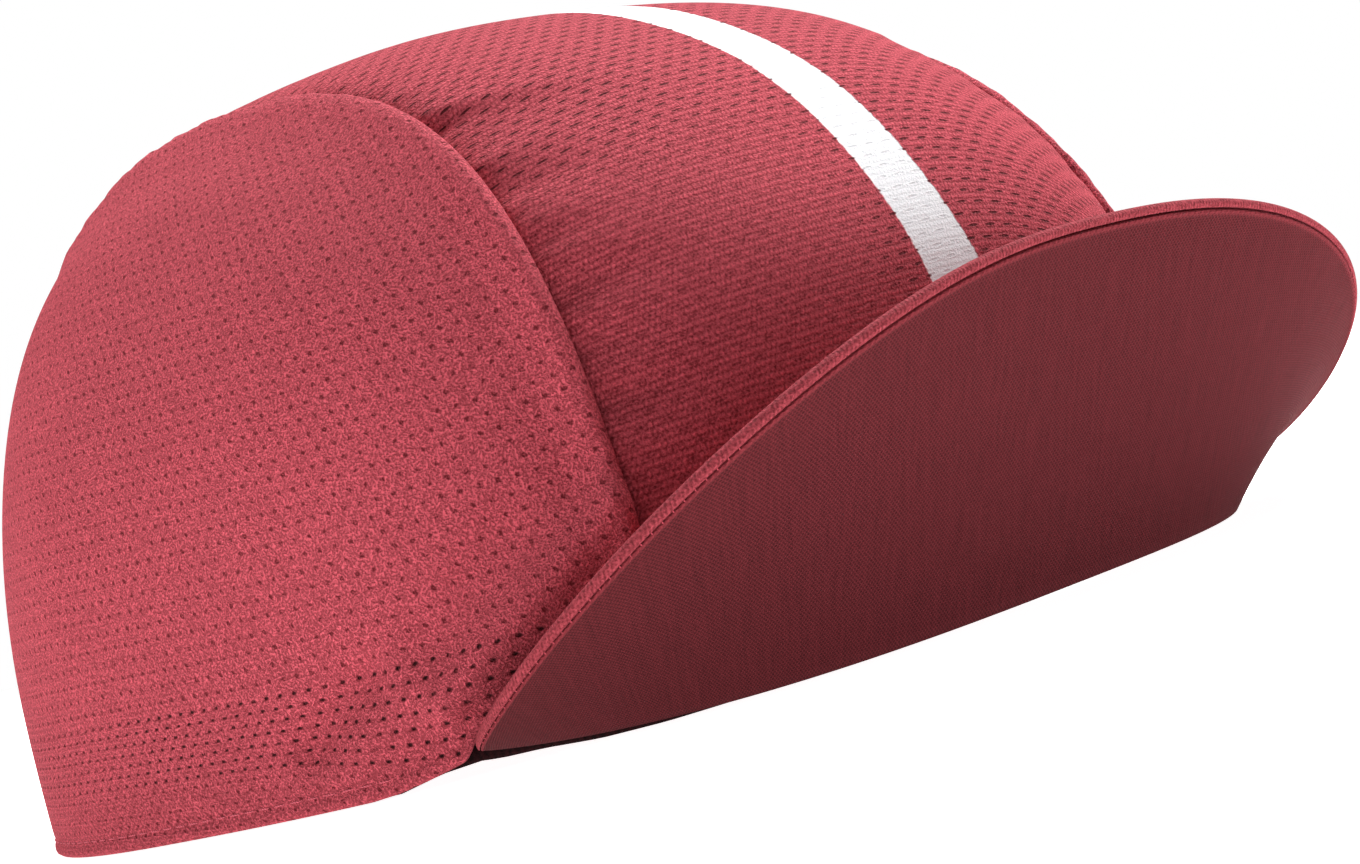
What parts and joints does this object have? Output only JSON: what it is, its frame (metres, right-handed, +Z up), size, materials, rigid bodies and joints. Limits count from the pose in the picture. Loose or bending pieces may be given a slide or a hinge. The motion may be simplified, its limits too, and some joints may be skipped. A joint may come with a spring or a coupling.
{
  "type": "cycling cap",
  "caption": "Soft knit cycling cap: striped centre panel, domed side panels, raised seams, perforated hem zone and a short turned-up peak.",
  "frame": {"origin": "on the surface that the hem rests on, under the middle of the whole cap's box", "axes": "+Z up through the crown, front with the peak towards -Y, wearer's right towards -X"},
  "size_m": [0.1708, 0.2056, 0.1024],
  "materials": {
    "knit": "soft matte knit, coral red",
    "edging": "soft matte knit, coral red",
    "weave": "matte dotted weave, dark red",
    "band": "matte knit, very dark red"
  },
  "bodies": {
    "root": {"centre_panel": "knit", "side_panel_right": "knit", "side_panel_left": "knit", "sweatband": "band", "peak_top_cover": "edging", "peak_under_cover": "weave"}
  },
  "joints": []
}
